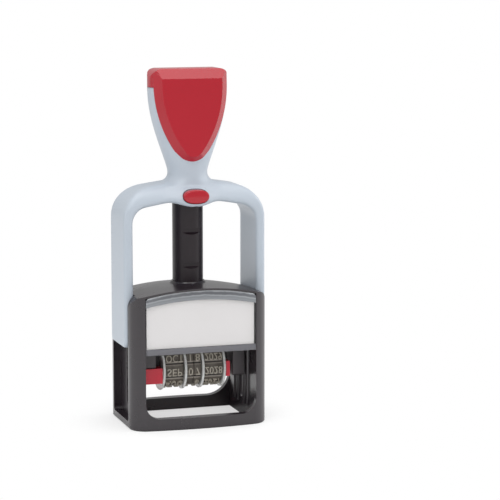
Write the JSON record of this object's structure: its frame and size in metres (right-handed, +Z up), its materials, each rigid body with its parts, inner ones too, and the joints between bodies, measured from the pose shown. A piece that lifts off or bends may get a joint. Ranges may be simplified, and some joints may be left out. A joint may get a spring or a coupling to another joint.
{
  "type": "self-inking date stamp",
  "caption": "Self-inking date stamp: a sprung yoke with a red grip slides on a column and flips the die and date bands from the ink pad down to the paper.",
  "frame": {"origin": "on the table under the middle of the base", "axes": "+Z up along the column, -Y out of the front with the index window, +X to the right"},
  "size_m": [0.0642, 0.0462, 0.1565],
  "materials": {
    "base_black": "satin moulding",
    "column_black": "satin",
    "mechanism_black": "matt",
    "spring_steel": "drawn wire",
    "yoke_grey": "satin",
    "cap_red": "semi-gloss",
    "button_red": "gloss",
    "pin_steel": "ground",
    "carrier_grey": "matt",
    "foam_dark": "foam",
    "die_rubber": "matt rubber",
    "frame_red": "satin",
    "band_rubber": "matt rubber",
    "wheel_clear": "milky clear",
    "cassette_black": "matt",
    "felt_blue": "inked felt",
    "felt_red": "inked felt",
    "window_clear": "clear",
    "card_white": "card"
  },
  "bodies": {
    "housing": {"base_frame": "base_black", "guide_column": "column_black", "return_spring": "spring_steel"},
    "handle": {"yoke": "yoke_grey", "handle_cap": "cap_red", "pin_left": "pin_steel", "pin_right": "pin_steel", "spring_post": "mechanism_black"},
    "button": {"lock_button": "button_red"},
    "carrier": {"die_carrier": "carrier_grey", "plate_backing": "foam_dark", "text_plate": "die_rubber", "date_unit_frame": "frame_red", "band_bridge": "mechanism_black", "wheel_axle": "pin_steel", "axle_clip": "pin_steel", "month_band": "band_rubber", "tens_band": "band_rubber", "units_band": "band_rubber", "year_band": "band_rubber"},
    "month_dial": {"month_wheel": "wheel_clear"},
    "tens_dial": {"tens_wheel": "wheel_clear"},
    "units_dial": {"units_wheel": "wheel_clear"},
    "year_dial": {"year_wheel": "wheel_clear"},
    "cassette": {"pad_cassette": "cassette_black", "ink_pad_text": "felt_blue", "ink_pad_date": "felt_red"},
    "window": {"index_window": "window_clear", "index_card": "card_white"}
  },
  "joints": [
    {"name": "press", "type": "slide", "parent": "housing", "child": "handle", "axis": [0, 0, -1], "range_m": [0, 0.031], "stiffness_N_per_m": 400, "springref_m": -0.01, "deforming": ["return_spring"]},
    {"name": "carrier_flip", "type": "hinge", "parent": "handle", "child": "carrier", "pos_m": [0, 0, 0.041], "axis": [1, 0, 0], "range_deg": [0, 180]},
    {"name": "button_press", "type": "slide", "parent": "handle", "child": "button", "axis": [0, 1, 0], "range_m": [0, 0.0012], "stiffness_N_per_m": 400, "springref_m": -0.002},
    {"name": "month_turn", "type": "hinge", "parent": "carrier", "child": "month_dial", "pos_m": [-0.01345, 0, 0.0235], "axis": [1, 0, 0], "continuous": true},
    {"name": "tens_turn", "type": "hinge", "parent": "carrier", "child": "tens_dial", "pos_m": [-0.00355, 0, 0.0235], "axis": [1, 0, 0], "continuous": true},
    {"name": "units_turn", "type": "hinge", "parent": "carrier", "child": "units_dial", "pos_m": [0.00445, 0, 0.0235], "axis": [1, 0, 0], "continuous": true},
    {"name": "year_turn", "type": "hinge", "parent": "carrier", "child": "year_dial", "pos_m": [0.01435, 0, 0.0235], "axis": [1, 0, 0], "continuous": true},
    {"name": "pad_draw", "type": "slide", "parent": "housing", "child": "cassette", "axis": [0, 1, 0], "range_m": [0, 0.045]},
    {"name": "window_pull", "type": "slide", "parent": "housing", "child": "window", "axis": [0, -1, 0], "range_m": [0, 0.02]}
  ],
  "couplings": [
    {"joint": "carrier_flip", "follows": "press", "rad_per_m": 101.34}
  ]
}
